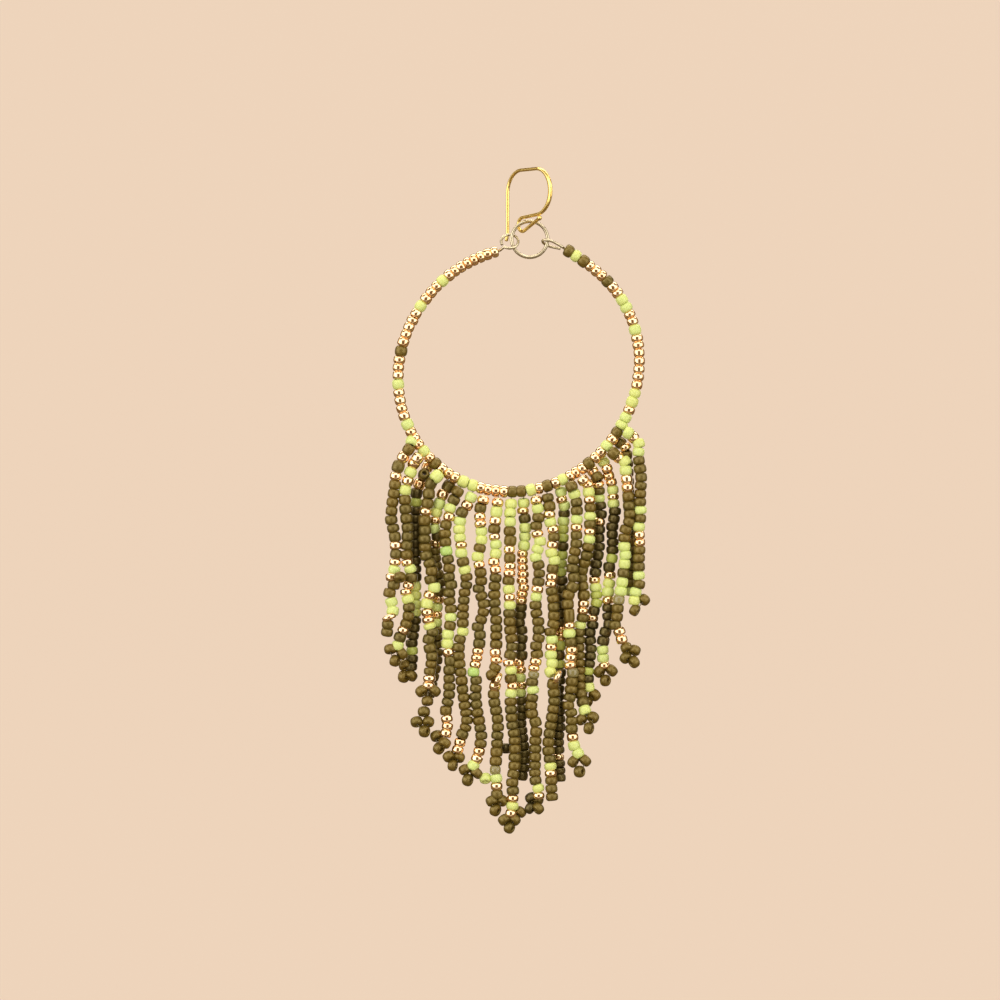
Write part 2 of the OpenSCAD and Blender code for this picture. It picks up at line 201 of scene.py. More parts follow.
# Beads of the clusters at the feet, in groups that a loop of thread runs through: kind, pixel of its centre, lean of
# its hole from the vertical in degrees, and distance behind its string's layer. A group of one bead hangs on a short
# thread, and so do the loose bead in front of string 1 and the dark one behind string 10.
FEET = {
    1: [[("O", 400.3, 577, 0, -1.9)]],
    2: [[("O", 390.5, 649, 8, 0), ("O", 395, 660.5, 75, 0), ("O", 402, 653.5, -60, 0)]],
    3: [[("O", 404.5, 665.5, 10, -0.2), ("O", 403.5, 677, 80, 0), ("O", 411, 676, -35, 0)]],
    4: [[("O", 421.7, 691, 40, 0), ("O", 434.8, 690.7, -40, 0)],
        [("O", 427.5, 701, 0, 0)],
        [("O", 424, 711.5, 0, 0)],
        [("O", 416.7, 721.6, 12, 0), ("O", 424.5, 731, 85, 0), ("O", 428.5, 721.6, -12, 0)]],
    6: [[("O", 436.5, 736, 20, 0.8), ("O", 439, 748.2, 60, 0.3), ("O", 444.8, 742.5, -30, -0.5)]],
    7: [[("O", 448.9, 756.3, 35, 0), ("O", 452.8, 765, 80, 0.3), ("O", 458.8, 757, -25, 0.5)]],
    8: [[("O", 464.6, 769.3, 25, 0), ("O", 467.8, 779.7, 75, 0), ("O", 476.3, 772.7, -40, 0)]],
    9: [[("L", 485.3, 778.2, 5, 0.3)],
        [("O", 491.8, 800.5, 25, 0), ("O", 495.3, 809.8, 70, 0.4), ("O", 502, 800.5, -30, 0.4)]],
    10: [[("D", 506, 749, 0, 2.2)],
         [("O", 504.2, 819.3, 35, 0), ("O", 509.4, 827.5, 70, 0.5), ("O", 514.6, 819.5, -40, 0.3),
          ("O", 520.5, 812, -40, 1)]],
    12: [[("D", 531, 797.7, 25, 0.6), ("D", 530, 808, 60, 0.6), ("O", 538, 808, -50, 0),
          ("O", 537.5, 799.5, -10, 1.3)]],
    15: [[("O", 573.2, 761.3, 55, 0), ("O", 579.4, 771.3, 90, 0), ("O", 585, 760.3, -45, 0)]],
    16: [[("O", 581.3, 719.3, 40, 0.4), ("O", 588.8, 728, 80, 0), ("O", 593, 717.3, -35, 0)]],
    17: [[("O", 594.8, 695.5, -50, 0), ("O", 587, 703, 50, 0.4)]],
    18: [[("O", 599.7, 671.8, 50, 0), ("O", 605.5, 680.8, 90, 0), ("O", 611.8, 670.8, -45, 0)]],
    19: [[("O", 626.3, 647.8, 20, 0), ("O", 625.5, 657.5, 50, 0), ("O", 633.8, 661.8, -60, 0),
          ("O", 634.5, 650.2, -20, 0.3)]],
    21: [[("O", 644, 599.7, -45, 0.2), ("O", 634.7, 610, 60, 0)]],
}

# A bead's tone is its place on the ramp of its material, where 1 is the darkest olive. Some kinds have their own
# tone. The tone of M beads, and the dark tones of the back strings' shaded olive beads, are painted shade. The tones
# of the others are random, from 0 to these values.
OWN_TONE = {"M": 1.0, "P": 0.9, "D": 0.95}
STRING_TONE = 0.62
CLUSTER_TONE = 0.35
PLAIN_TONE = 0.5

# Strings at the back whose olive beads are painted darker below a height, as painted shade: least tone of these, and
# their spread
PAINTED_SHADE_Z = -58.5
PAINTED_SHADE = {3: 0.88, 11: 0.75, 14: 0.82, 17: 0.9, 18: 0.85}
PAINTED_SHADE_SPREAD = 0.08

# Length on the thread, radius, and hole radius of each kind of bead
BEADS = {
    "O": (1.62, 1.14, 0.3),
    "D": (1.62, 1.14, 0.3),
    "L": (1.62, 1.13, 0.32),
    "M": (1.62, 1.12, 0.32),
    "P": (1.62, 1.12, 0.32),
    "G": (1.34, 1.12, 0.36),
    "C": (1.58, 1.08, 0.34),
    "T": (2.3, 0.98, 0.3),
}

# Materials of a piece, by their number
SLOTS = ("olive_bead", "lime_bead", "gold_bead", "clear_bead", "thread", "pale_wire")
KIND_SLOT = {"O": 0, "D": 0, "T": 0, "L": 1, "M": 1, "P": 1, "G": 2, "C": 3}
THREAD_SLOT = 4
WIRE_SLOT = 5

# The thread, the steps of a curve between two of its points, and the ways that no tube and no bead points, from
# which the places around them are counted
THREAD_R = 0.1
THREAD_SIDES = 6
CURVE_SUB = 6
TUBE_SIDE = (0.13, 0.95, 0.29)
BEAD_SIDE = (0.21, 0.9, 0.17)

# Shape of a bead: reach of its rounding out from the hole, its points around the hole and around its cut, and how
# square its cut is
BRIM = 0.25
BEAD_AROUND = 20
BEAD_PROFILE = 16
SQUARENESS = {"O": 2.65, "D": 2.65, "T": 4, "L": 2.5, "M": 2.5, "P": 2.5, "G": 2.6, "C": 2.4}

# Unevenness of a bead, least and most: its radius and its hole as a share, its squareness, the slant of its cut and
# how oval it is
RADIUS_SPREAD = (0.96, 1.03)
HOLE_SPREAD = (0.9, 1.12)
SQUARENESS_SPREAD = (-0.25, 0.3)
CUT_SPREAD = (0, 0.045)
OVAL_SPREAD = (0, 0.02)

# Beads in a row: a bead is SNUG times as long as its place, so that no gap shows, its place is a random share of
# the usual length, and it is tilted and shifted a little
SNUG = 1.05
HOOP_SEED = 7
HOOP_SHARE = (0.9, 1.12)
HOOP_MARGIN = 0.05
HOOP_TILT = 0.06
HOOP_SHIFT = 0.03
STRING_SEED = 100
STRING_SHARE = (0.93, 1.07)
STRING_TILT = 0.055
STRING_SHIFT = 0.05

# The thread of a string starts this far outside the hoop's line. The beads of a cluster have this share of the usual
# length, and their holes face the front by a random amount.
ROOT_OUT = 0.3
CLUSTER_LENGTH = 0.97
CLUSTER_FACING = (-0.75, -0.3)

# Colour of the backdrop, and of the surroundings
BACKDROP_COLOUR = (0.775, 0.6, 0.455, 1)
AROUND_COLOUR = (1.0, 0.68, 0.4, 1)


def unit(v):
    return v / np.linalg.norm(v)


def on_circle(angle, r=1.0):
    return r * np.array([math.cos(math.radians(angle)), math.sin(math.radians(angle))])


def spline(p0, p1, p2, p3, t):
    return 0.5 * (2 * p1 + (p2 - p0) * t + (2 * p0 - 5 * p1 + 4 * p2 - p3) * t * t
                  + (3 * p1 - p0 - 3 * p2 + p3) * t * t * t)


def curve(points, sub, closed=False):
    """Smooth curve through the points, with sub steps between two of them."""
    n = len(points)
    out = []
    for i in range(n if closed else n - 1):
        if closed:
            near = [points[(i + k) % n] for k in (-1, 0, 1, 2)]
        else:
            near = [points[min(max(i + k, 0), n - 1)] for k in (-1, 0, 1, 2)]
        out += [spline(*near, k / sub) for k in range(sub)]
    return np.array(out if closed else out + [points[-1]])


def hoop_radius(angle):
    wrapped = angle - 360 if angle > 180 else angle
    past = max(0, wrapped - HOOP_FLARE_A)
    flare = past if past < HOOP_FLARE_SPAN else 0
    return HOOP_R + HOOP_OVAL * math.cos(math.radians(2 * (angle - HOOP_OVAL_A))) + HOOP_FLARE_K * flare ** 2


def hoop_point(angle, out=0.0):
    a = math.radians(angle)
    return HOOP_C + (hoop_radius(angle) + out) * np.array([math.cos(a), 0, math.sin(a)])


def pixel_point(px, py, y):
    return np.array([(px - ORIGIN_PX[0]) / PX_PER_MM, y, -(py - ORIGIN_PX[1]) / PX_PER_MM])


def hanging_point(px, py, layer, behind=0.0):
    """Point of a string at a pixel: in its layer, in line with the hoop near it, and clear of the hoop's beads."""
    point = pixel_point(px, py, DROP_Y)
    out = point - HOOP_C
    gap = abs(math.hypot(out[0], out[2]) - hoop_radius(math.degrees(math.atan2(out[2], out[0]))))
    side = -FRONT_Y if layer == FRONT else BACK_Y
    depth = abs(side) * min(1, gap / LAYER_REACH)
    if gap < TOUCH:
        depth = max(depth, math.sqrt(TOUCH ** 2 - gap ** 2))
    point[1] += math.copysign(depth, side) + behind
    return point


def smooth_route(points, steps=24):
    """Smooth polyline through unevenly spaced points, and the length along it of each of them."""
    points = np.array(points)
    spans = np.linalg.norm(np.diff(points, axis=0), axis=1)
    slopes = np.diff(points, axis=0) / spans[:, None]
    middle = (slopes[:-1] * spans[1:, None] + slopes[1:] * spans[:-1, None]) / (spans[:-1] + spans[1:])[:, None]
    tangents = np.vstack([slopes[:1], middle, slopes[-1:]])
    t = (np.arange(steps) / steps)[:, None]
    out = []
    for i, span in enumerate(spans):
        p, q, a, b = points[i], points[i + 1], tangents[i] * span, tangents[i + 1] * span
        out.append(p + a * t + (3 * (q - p) - 2 * a - b) * t ** 2 + (2 * (p - q) + a + b) * t ** 3)
    route = Route(np.vstack(out + [points[-1:]]))
    return route, route.lengths[::steps]


class Route:
    """A polyline that gives its point and direction at a length along it."""

    def __init__(self, points):
        self.points = np.asarray(points)
        self.lengths = np.concatenate([[0], np.cumsum(np.linalg.norm(np.diff(self.points, axis=0), axis=1))])
        self.length = self.lengths[-1]

    def at(self, s):
        return np.array([np.interp(s, self.lengths, self.points[:, k]) for k in range(3)])

    def direction(self, s, reach=0.4):
        a, b = max(s - reach, 0), min(s + reach, self.length)
        return unit(self.at(b) - self.at(a))


class Maker:
    """Collects rings of points into one mesh of several materials."""

    def __init__(self):
        self.verts, self.faces, self.slots, self.tones = [], [], [], []

    def add(self, rings, slot, tone, closed):
        rings = np.asarray(rings)
        n, around = rings.shape[:2]
        first = len(self.verts)
        self.verts += (rings.reshape(-1, 3) * MM).tolist()
        self.tones += [tone] * (n * around)
        faces = []
        for i in range(n if closed else n - 1):
            near, far = first + i * around, first + (i + 1) % n * around
            for k in range(around):
                m = (k + 1) % around
                faces.append((near + k, near + m, far + m, far + k))
        if not closed:
            faces.append(tuple(first + k for k in range(around - 1, -1, -1)))
            faces.append(tuple(first + (n - 1) * around + k for k in range(around)))
        self.faces += faces
        self.slots += [slot] * len(faces)

    def tube(self, path, radius, slot, sides, closed=False, side=TUBE_SIDE):
        """Tube along a path. The radius is one number, or a row for each point: along side and across it."""
        path = np.asarray(path)
        n = len(path)
        radii = np.broadcast_to(radius, (n, 2))
        if closed:
            tangents = np.roll(path, -1, 0) - np.roll(path, 1, 0)
        else:
            tangents = np.gradient(path, axis=0)
        tangents /= np.linalg.norm(tangents, axis=1)[:, None]
        side = np.array(side)
        angles = np.arange(sides) * 2 * math.pi / sides
        rings = []
        for p, t, (r, wide) in zip(path, tangents, radii):
            side = unit(side - t * (side @ t))
            other = np.cross(t, side)
            rings.append(p + np.outer(r * np.cos(angles), side) + np.outer(wide * np.sin(angles), other))
        self.add(rings, slot, PLAIN_TONE, closed)

    def bead(self, centre, axis, kind, draw, length, tone, size=1.0):
        """One seed bead: a rounded ring with a hole, a little uneven in its width and cut."""
        _, radius, hole = BEADS[kind]
        half = length / 2
        radius = radius * size * draw.uniform(*RADIUS_SPREAD)
        hole = hole * draw.uniform(*HOLE_SPREAD)
        axis = unit(axis)
        side = unit(np.cross(axis, BEAD_SIDE))
        other = np.cross(axis, side)
        brim = hole + BRIM
        power = 2 / (SQUARENESS[kind] + draw.uniform(*SQUARENESS_SPREAD))
        cut, cut_at = draw.uniform(*CUT_SPREAD), draw.uniform(0, 2 * math.pi)
        oval, oval_at = draw.uniform(*OVAL_SPREAD), draw.uniform(0, 2 * math.pi)
        angles = np.arange(BEAD_AROUND) * 2 * math.pi / BEAD_AROUND
        widen = 1 + oval * np.cos(2 * (angles - oval_at))
        skew = 1 - cut * (1 + np.cos(angles - cut_at))
        rings = []
        for k in range(BEAD_PROFILE):
            t = 2 * math.pi * k / BEAD_PROFILE
            c, s = math.cos(t), math.sin(t)
            r = brim + ((radius - brim) * c ** power if c > 0 else -BRIM * abs(c) ** power)
            h = half * math.copysign(abs(s) ** power, s)
            rings.append(centre + np.outer(r * widen * np.cos(angles), side)
                         + np.outer(r * widen * np.sin(angles), other) + np.outer(h * skew, axis))
        self.add(rings, KIND_SLOT[kind], tone, closed=True)

    def piece(self, name, materials):
        mesh = bpy.data.meshes.new(name)
        mesh.from_pydata(self.verts, [], self.faces)
        used = sorted(set(self.slots))
        for s in used:
            mesh.materials.append(materials[SLOTS[s]])
        place = {s: i for i, s in enumerate(used)}
        mesh.polygons.foreach_set("material_index", [place[s] for s in self.slots])
        mesh.polygons.foreach_set("use_smooth", [True] * len(self.faces))
        tone = mesh.attributes.new("tone", "FLOAT", "POINT")
        tone.data.foreach_set("value", self.tones)
        mesh.validate()
        mesh.update()
        obj = bpy.data.objects.new(name, mesh)
        bpy.context.scene.collection.objects.link(obj)
        return obj


class Shader:
    """A node material, with short ways to make and join its nodes."""

    def __init__(self, name, **values):
        self.material = bpy.data.materials.new(name)
        self.material.use_nodes = True
        self.nodes, self.links = self.material.node_tree.nodes, self.material.node_tree.links
        self.bsdf = self.nodes["Principled BSDF"]
        for socket, value in values.items():
            self.bsdf.inputs[socket.replace("_", " ")].default_value = value

    def node(self, kind, **values):
        node = self.nodes.new("ShaderNode" + kind)
        for socket, value in values.items():
            node.inputs[socket.replace("_", " ")].default_value = value
        return node

    def join(self, out, into):
        self.links.new(out, into)

    def tone(self):
        node = self.nodes.new("ShaderNodeAttribute")
        node.attribute_name = "tone"
        return node.outputs["Fac"]

    def place(self):
        return self.nodes.new("ShaderNodeTexCoord").outputs["Object"]

    def noise(self, scale, detail, roughness=0.5):
        node = self.node("TexNoise", Scale=scale, Detail=detail, Roughness=roughness)
        self.join(self.place(), node.inputs["Vector"])
        return node.outputs["Fac"]

    def ramp(self, fac, stops):
        node = self.nodes.new("ShaderNodeValToRGB")
        marks = node.color_ramp.elements
        while len(marks) < len(stops):
            marks.new(0.5)
        for mark, (place, colour) in zip(marks, stops):
            mark.position = place
            mark.color = (*colour, 1)
        self.join(fac, node.inputs["Fac"])
        return node.outputs["Color"]

    def spread(self, fac, low, high):
        node = self.node("MapRange", To_Min=low, To_Max=high)
        self.join(fac, node.inputs["Value"])
        return node.outputs["Result"]

    def shade(self, colour, fac):
        """Multiplies a colour by a number."""
        node = self.nodes.new("ShaderNodeVectorMath")
        node.operation = "SCALE"
        self.join(colour, node.inputs[0])
        self.join(fac, node.inputs["Scale"])
        return node.outputs["Vector"]

    def bump(self, height, strength, distance):
        node = self.node("Bump", Strength=strength, Distance=distance)
        self.join(height, node.inputs["Height"])
        self.join(node.outputs["Normal"], self.bsdf.inputs["Normal"])


def olive_bead():
    s = Shader("olive_bead", IOR=1.75, Specular_IOR_Level=0.8, Specular_Tint=(1, 0.78, 0.32, 1))
    # Tones from 0.75 up, the dark end of this ramp, are the painted shade of the back strings' olive beads, and the
    # dark olive of D beads
    colour = s.ramp(s.tone(), [(0, (0.113, 0.067, 0.006)), (0.35, (0.095, 0.063, 0.007)), (0.62, (0.072, 0.053, 0.008)),
                               (0.9, (0.034, 0.025, 0.005)), (1, (0.012, 0.009, 0.002))])
    mottled = s.spread(s.noise(1400, 3), 0.55, 1.42)
    s.join(s.shade(colour, mottled), s.bsdf.inputs["Base Color"])
    s.join(s.spread(s.noise(2600, 2), 0.3, 0.48), s.bsdf.inputs["Roughness"])
    s.bump(s.noise(5200, 4, 0.6), 0.25, 0.00003)
    return s.material


def lime_bead():
    s = Shader("lime_bead", Subsurface_Weight=0.1, Subsurface_Scale=0.0003, Subsurface_Radius=(1, 0.95, 0.4))
    # The last stop, at tone 1, is the darker lime of M beads: painted shade
    colour = s.ramp(s.tone(), [(0, (0.71, 0.74, 0.2)), (0.6, (0.66, 0.74, 0.225)), (0.9, (0.48, 0.65, 0.16)),
                               (1, (0.5, 0.53, 0.1))])
    mottled = s.spread(s.noise(1100, 2), 0.88, 1.08)
    s.join(s.shade(colour, mottled), s.bsdf.inputs["Base Color"])
    s.join(s.spread(s.noise(2400, 2), 0.26, 0.42), s.bsdf.inputs["Roughness"])
    s.bump(s.noise(4200, 3), 0.15, 0.00002)
    return s.material


def gold_bead():
    s = Shader("gold_bead", Metallic=1.0)
    colour = s.ramp(s.tone(), [(0, (1.0, 0.74, 0.43)), (0.6, (1.0, 0.68, 0.36)), (1, (0.97, 0.58, 0.27))])
    s.join(colour, s.bsdf.inputs["Base Color"])
    s.join(s.spread(s.noise(1500, 3), 0.04, 0.13), s.bsdf.inputs["Roughness"])
    s.bump(s.noise(1300, 1), 0.1, 0.00002)
    return s.material


def clear_bead():
    s = Shader("clear_bead", Transmission_Weight=0.3, IOR=1.6)
    colour = s.ramp(s.tone(), [(0, (0.4, 0.33, 0.12)), (1, (0.3, 0.24, 0.085))])
    s.join(colour, s.bsdf.inputs["Base Color"])
    s.join(s.spread(s.noise(2400, 2), 0.03, 0.1), s.bsdf.inputs["Roughness"])
    s.bump(s.noise(3000, 2), 0.15, 0.00002)
    return s.material


def thread():
    s = Shader("thread")
    ply = s.node("TexWave", Scale=900.0, Distortion=1.5, Detail=2.0)
    s.join(s.place(), ply.inputs["Vector"])
    s.join(s.ramp(ply.outputs["Fac"], [(0, (0.16, 0.12, 0.06)), (1, (0.36, 0.3, 0.18))]), s.bsdf.inputs["Base Color"])
    s.join(s.spread(s.noise(4000, 2), 0.6, 0.9), s.bsdf.inputs["Roughness"])
    s.bump(ply.outputs["Fac"], 0.5, 0.00004)
    return s.material


def wire(name, light, dark, rough_low, rough_high):
    """Plated wire: slightly uneven polish with fine drawing marks."""
    s = Shader(name, Metallic=1.0)
    s.join(s.ramp(s.noise(700, 3), [(0.25, dark), (0.75, light)]), s.bsdf.inputs["Base Color"])
    s.join(s.spread(s.noise(1300, 2), rough_low, rough_high), s.bsdf.inputs["Roughness"])
    s.bump(s.noise(900, 2), 0.03, 0.00002)
    return s.material


MATERIALS = {
    "olive_bead": olive_bead(),
    "lime_bead": lime_bead(),
    "gold_bead": gold_bead(),
    "clear_bead": clear_bead(),
    "thread": thread(),
    "pale_wire": wire("pale_wire", (0.71, 0.62, 0.43), (0.58, 0.5, 0.32), 0.2, 0.34),
    "hook_gold": wire("hook_gold", (1.0, 0.78, 0.27), (0.96, 0.68, 0.19), 0.14, 0.26),
}


def dress(name):
    """Gives a node of the part that stays its material."""
    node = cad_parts[name]
    node.data.materials.clear()
    node.data.materials.append(MATERIALS["pale_wire"])


def make_hook():
    """Ear wire with its tail, both bends, the straight sole and the eye with its blunt tip."""
    front_c = np.array([FRONT_U, -FRONT_BEND_R])
    front_end = front_c + on_circle(FRONT_END_A, FRONT_BEND_R)
    sole_dir = -on_circle(90 + FRONT_END_A)
    sole_end = front_end + sole_dir * (front_end[0] - SOLE_U) / math.cos(math.radians(90 + FRONT_END_A))
    eye_c = sole_end + EYE_R * np.array([-sole_dir[1], sole_dir[0]])
    eye_end = eye_c + on_circle(EYE_END_A, EYE_R)
    tip_dir = on_circle(EYE_END_A + 90)
    tip = eye_end + EYE_TIP_L * tip_dir
    back_c = np.array([BACK_U, -BACK_BEND_R])
    tail_c = np.array([BACK_U - BACK_BEND_R - TAIL_BEND_R, -BACK_BEND_R - TAIL_H])

    def arc(centre, r, start, end, n):
        return [centre + on_circle(a, r) for a in np.linspace(start, end, n)]

    round_wire = (HOOK_WIRE_R, HOOK_WIRE_R)
    tail_n, back_n, front_n, eye_n = 8, 24, 44, 32
    flat = arc(tail_c, TAIL_BEND_R, -TAIL_BEND_A, 0, tail_n) + arc(back_c, BACK_BEND_R, 180, 90, back_n)
    radii = [round_wire] * len(flat)
    flat += arc(front_c, FRONT_BEND_R, 90, FRONT_END_A, front_n)
    beaten = [math.sin(math.pi * k / (front_n - 1)) ** 2 for k in range(front_n)]
    radii += [(HOOK_WIRE_R + BEATEN_THICK * b, HOOK_WIRE_R + BEATEN_WIDE * b) for b in beaten]
    flat += arc(eye_c, EYE_R, 180 + FRONT_END_A, EYE_END_A, eye_n)
    flat += [eye_end + tip_dir * EYE_TIP_L * k for k in (0.3, 0.6, 0.8)]
    radii += [round_wire] * (len(flat) - len(radii))
    start_dir = -on_circle(90 - TAIL_BEND_A)
    caps = [on_circle(a) for a in (80, 60, 40, 20)]
    flat = [flat[0] + start_dir * TAIL_CAP_L * up for _, up in caps] + flat
    radii = [(HOOK_WIRE_R * (TAIL_CAP_R + (1 - TAIL_CAP_R) * out),) * 2 for out, _ in caps] + radii
    for a in (-55, -30, 0, 30, 55, 75, 86):
        out, up = on_circle(a)
        flat.append(tip + tip_dir * EYE_TIP_R * (TIP_LONG * up - TIP_BACK))
        radii.append((max(EYE_TIP_R * out, HOOK_WIRE_R if a < 0 else TIP_LEAST_R),) * 2)
    turn = math.radians(HOOK_TURN)
    path = [(p[0] * math.cos(turn), -p[0] * math.sin(turn), p[1]) for p in flat]
    maker = Maker()
    maker.tube(path, radii, WIRE_SLOT, sides=18, side=(math.sin(turn), math.cos(turn), 0))
    return maker.piece("ear_wire", {"pale_wire": MATERIALS["hook_gold"]})


def make_hoop_wire():
    """One wire: the round left loop, the hoop and the long right hook."""
    loop_steps, hoop_steps, least_step = 56, 200, 0.02
    tilt = math.radians(LEFT_LOOP_TILT)
    left = []
    for a in np.linspace(LEFT_LOOP_FROM + LEFT_LOOP_TURN, LEFT_LOOP_FROM, loop_steps):
        c, s = on_circle(a)
        left.append(LEFT_LOOP_C + LEFT_LOOP_R * np.array([c, math.sin(tilt) * s, math.cos(tilt) * s]))
    hoop = [hoop_point(a) for a in np.linspace(HOOP_LEFT_A, HOOP_RIGHT_A, hoop_steps)]
    rise, turn = math.radians(RIGHT_LOOP_RISE), math.radians(RIGHT_LOOP_TILT)
    along = np.array([-math.cos(rise), 0, math.sin(rise)])
    up = np.array([math.sin(rise), 0, math.cos(rise)])
    across = up * math.cos(turn) - np.array([0, math.sin(turn), 0])
    right = curve([hoop[-1] + along * p + across * q for p, q in RIGHT_LOOP], CURVE_SUB)
    joint = slice(CURVE_SUB, 2 * CURVE_SUB)
    near_left = curve([left[-3], left[-1], hoop[0], hoop[3]], CURVE_SUB)[joint]
    near_right = curve([hoop[-4], hoop[-1], right[0], right[2]], CURVE_SUB)[joint]
    path = left[:-1] + list(near_left) + hoop[:-1] + list(near_right) + list(right)
    keep = [path[0]]
    for p in path[1:]:
        if np.linalg.norm(p - keep[-1]) > least_step:
            keep.append(p)
    maker = Maker()
    maker.tube(keep, HOOP_WIRE_R, WIRE_SLOT, sides=14)
    return maker.piece("hoop_loops", MATERIALS)


def set_bead(maker, route, letter, start, end, draw, tilt, shift, shade=0.0):
    """Puts one bead on a route, from one length along it to another."""
    kind = letter.upper()
    middle = (start + end) / 2
    axis = route.direction(middle) + tilt * np.array([draw.gauss(0, 1) for _ in range(3)])
    if letter == "o":
        axis = np.array(ASKEW_HOLE)
    if letter == "g":
        c, n = on_circle(ASKEW_TURN)
        axis = np.array([axis[0] * c - axis[2] * n, axis[1], axis[0] * n + axis[2] * c])
    tone = OWN_TONE.get(kind, draw.random() * STRING_TONE)
    centre = route.at(middle) + np.array([draw.uniform(-shift, shift), draw.uniform(-shift, shift), 0])
    # Olive beads of a shaded back string, below a height, take a dark tone: painted shade
    if shade and letter == "O" and centre[2] < PAINTED_SHADE_Z:
        tone = shade + PAINTED_SHADE_SPREAD * draw.random()
    if letter == "g":
        maker.bead(centre, axis, kind, draw, length=ASKEW_LENGTH, tone=tone, size=ASKEW_SIZE)
    else:
        maker.bead(centre, axis, kind, draw, length=(end - start) * SNUG, tone=tone)


def make_hoop_beads():
    """The hoop's beads in their order, from its right end to its left end."""
    draw = random.Random(HOOP_SEED)
    maker = Maker()
    steps = 400
    route = Route([hoop_point(a) for a in np.linspace(HOOP_RIGHT_A, HOOP_LEFT_A, steps)])
    start, end = HOOP_MARGIN, route.length - HOOP_MARGIN
    wanted = np.array([BEADS[k][0] * draw.uniform(*HOOP_SHARE) for k in HOOP_ORDER])
    edges = start + np.concatenate([[0], np.cumsum(wanted * (end - start) / wanted.sum())])
    for letter, a, b in zip(HOOP_ORDER, edges, edges[1:]):
        set_bead(maker, route, letter, a, b, draw, tilt=HOOP_TILT, shift=HOOP_SHIFT)
    return maker.piece("hoop_bead_string", MATERIALS)


def make_string(number, row):
    """A string of the fringe with its beads, its thread and the cluster at its foot."""
    draw = random.Random(STRING_SEED + number)
    maker = Maker()
    angle, layer, chart = row
    words = chart.split()
    runs = words[::2]
    places = [[float(v) for v in word.split(",")] for word in words[1::2]]
    marks = [hanging_point(place[0], place[1], layer, *place[2:]) for place in places]
    order = "".join(runs)
    lengths = [BEADS[k.upper()][0] * draw.uniform(*STRING_SHARE) for k in order]
    root = hoop_point(angle, ROOT_OUT)
    first = len(runs[0])
    lead = sum(lengths[:first]) - lengths[first - 1] / 2
    away = unit(marks[0] - root)
    top = marks[0] - away * lead
    foot = marks[-1] + unit(marks[-1] - marks[-2]) * lengths[-1] / 2
    route, stops = smooth_route([top] + marks + [foot])
    centres = []
    done = 0
    for run, stop, last in zip(runs, stops[1:-1], [None] + list(stops[1:-2])):
        own = lengths[done:done + len(run)]
        if last is None:
            steps = [own[0] / 2] + [(a + b) / 2 for a, b in zip(own, own[1:])]
            last = 0
        else:
            steps = [(a + b) / 2 for a, b in zip([lengths[done - 1]] + own, own)]
        centres += list(last + np.cumsum(steps) * (stop - last) / sum(steps))
        done += len(run)
    edges = [max(centres[0] - lengths[0] / 2, 0)]
    for i in range(len(order) - 1):
        share = lengths[i] / (lengths[i] + lengths[i + 1])
        edges.append(centres[i] + (centres[i + 1] - centres[i]) * share)
    edges.append(route.length)
    # Least tone of the painted shade on this string's olive beads, 0 where it has none
    shade = PAINTED_SHADE.get(number, 0)
    for letter, a, b in zip(order, edges, edges[1:]):
        set_bead(maker, route, letter, a, b, draw, tilt=STRING_TILT, shift=STRING_SHIFT, shade=shade)
    inside = [route.at(s) for s in np.linspace(0, centres[-1], 3 * len(order))]
    maker.tube([root, (root + inside[0]) / 2] + inside, THREAD_R, THREAD_SLOT, sides=THREAD_SIDES)
    stem = route.at(centres[-1])
    layer_y = DROP_Y + (-FRONT_Y if layer == FRONT else BACK_Y)
    for group in FEET.get(number, []):
        beads = []
        for kind, px, py, lean, behind in group:
            centre = pixel_point(px, py, layer_y + behind)
            lean = math.radians(lean)
            axis = np.array([math.sin(lean), draw.uniform(*CLUSTER_FACING), -math.cos(lean)])
            tone = OWN_TONE.get(kind, draw.random() * CLUSTER_TONE)
            maker.bead(centre, axis, kind, draw, length=BEADS[kind][0] * CLUSTER_LENGTH, tone=tone)
            beads.append(centre)
        if len(group) > 1:
            loop = curve([stem] + beads, CURVE_SUB, closed=True)
            maker.tube(loop, THREAD_R, THREAD_SLOT, sides=THREAD_SIDES, closed=True)
            continue
        aside = beads[0][2] > stem[2]
        start = min(route.points, key=lambda p: np.linalg.norm(p - beads[0])) if aside else stem
        maker.tube([start, (start + beads[0]) / 2, beads[0]], THREAD_R, THREAD_SLOT, sides=THREAD_SIDES)
        stem = stem if aside else beads[0]
    return maker.piece(f"bead_string_{number:02d}", MATERIALS)


def area_light(name, place, target, width, height, radiance, colour=(1, 1, 1), glossy=True):
    """Soft box of a given brightness, unseen by the camera, and unseen in reflections where glossy is False."""
    data = bpy.data.lights.new(name, "AREA")
    data.shape = "RECTANGLE"
    data.size, data.size_y = width, height
    data.energy = radiance * math.pi * width * height
    data.color = colour
    obj = bpy.data.objects.new(name, data)
    bpy.context.scene.collection.objects.link(obj)
    obj.location = place
    obj.rotation_mode = "QUATERNION"
    obj.rotation_quaternion = Vector(np.array(target) - np.array(place)).to_track_quat("-Z", "Y")
    obj.visible_camera = False
    obj.visible_glossy = glossy


